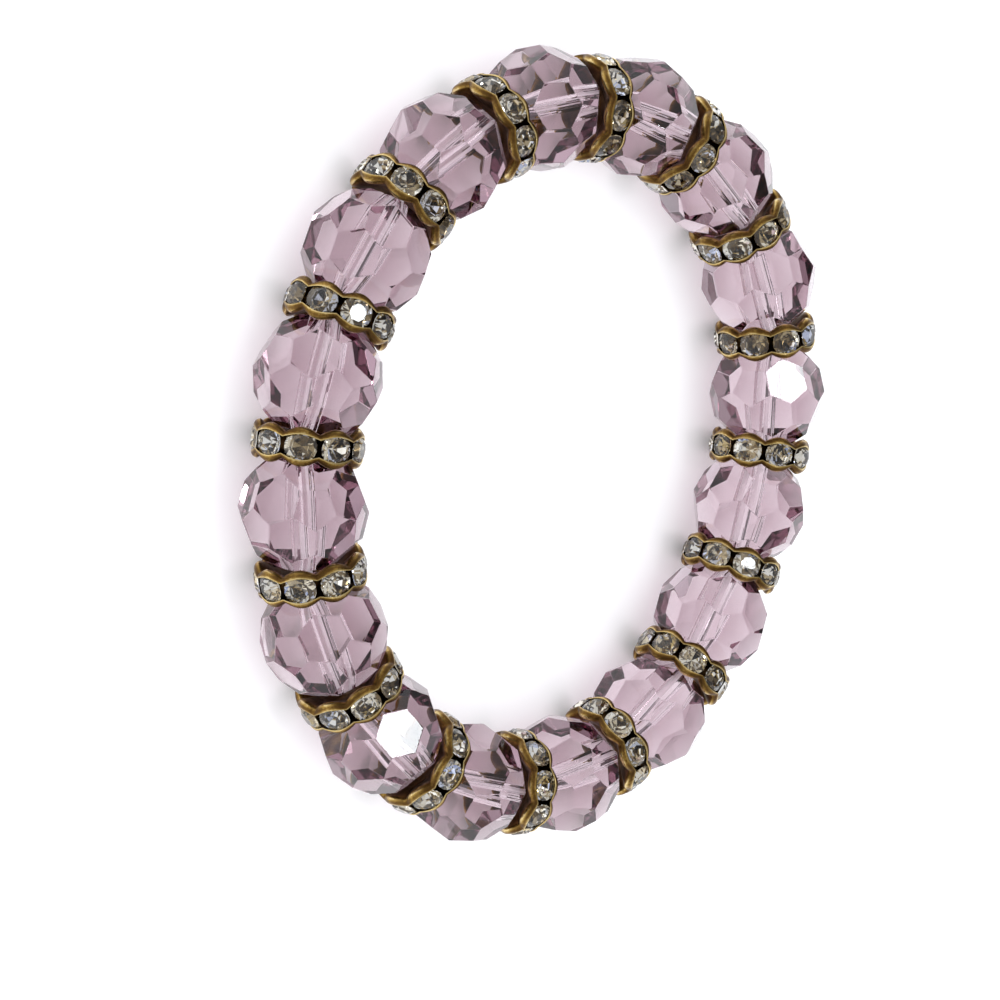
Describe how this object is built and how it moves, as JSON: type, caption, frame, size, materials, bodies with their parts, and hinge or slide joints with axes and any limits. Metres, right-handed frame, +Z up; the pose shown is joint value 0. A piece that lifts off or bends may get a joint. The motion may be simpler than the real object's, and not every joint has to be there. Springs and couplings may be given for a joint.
{
  "type": "beaded stretch bracelet",
  "caption": "Stretch bracelet of faceted lilac-pink glass beads in turn with antique-brass rhinestone rondelles, strung as a closed loop on clear elastic.",
  "frame": {"origin": "on the surface that the bracelet lies on, under the middle of its outline", "axes": "+Z up along the ring's axis, +X along the long way of the oval"},
  "size_m": [0.079, 0.0678, 0.012],
  "materials": {
    "lilac_glass": "clear faceted glass, polished",
    "antique_brass": "antiqued, worn bright on the rims",
    "clear_stone": "cut and foiled behind",
    "clear_elastic": "clear, smooth"
  },
  "bodies": {
    "root": {"bead_01": "lilac_glass", "bead_02": "lilac_glass", "bead_03": "lilac_glass", "bead_04": "lilac_glass", "bead_05": "lilac_glass", "bead_06": "lilac_glass", "bead_07": "lilac_glass", "bead_08": "lilac_glass", "bead_09": "lilac_glass", "bead_10": "lilac_glass", "bead_11": "lilac_glass", "bead_12": "lilac_glass", "bead_13": "lilac_glass", "bead_14": "lilac_glass", "bead_15": "lilac_glass", "bead_16": "lilac_glass", "rondelle_01": "antique_brass", "rondelle_02": "antique_brass", "rondelle_03": "antique_brass", "rondelle_04": "antique_brass", "rondelle_05": "antique_brass", "rondelle_06": "antique_brass", "rondelle_07": "antique_brass", "rondelle_08": "antique_brass", "rondelle_09": "antique_brass", "rondelle_10": "antique_brass", "rondelle_11": "antique_brass", "rondelle_12": "antique_brass", "rondelle_13": "antique_brass", "rondelle_14": "antique_brass", "rondelle_15": "antique_brass", "rondelle_16": "antique_brass", "rhinestones_01": "clear_stone", "rhinestones_02": "clear_stone", "rhinestones_03": "clear_stone", "rhinestones_04": "clear_stone", "rhinestones_05": "clear_stone", "rhinestones_06": "clear_stone", "rhinestones_07": "clear_stone", "rhinestones_08": "clear_stone", "rhinestones_09": "clear_stone", "rhinestones_10": "clear_stone", "rhinestones_11": "clear_stone", "rhinestones_12": "clear_stone", "rhinestones_13": "clear_stone", "rhinestones_14": "clear_stone", "rhinestones_15": "clear_stone", "rhinestones_16": "clear_stone", "thread": "clear_elastic"}
  },
  "joints": []
}
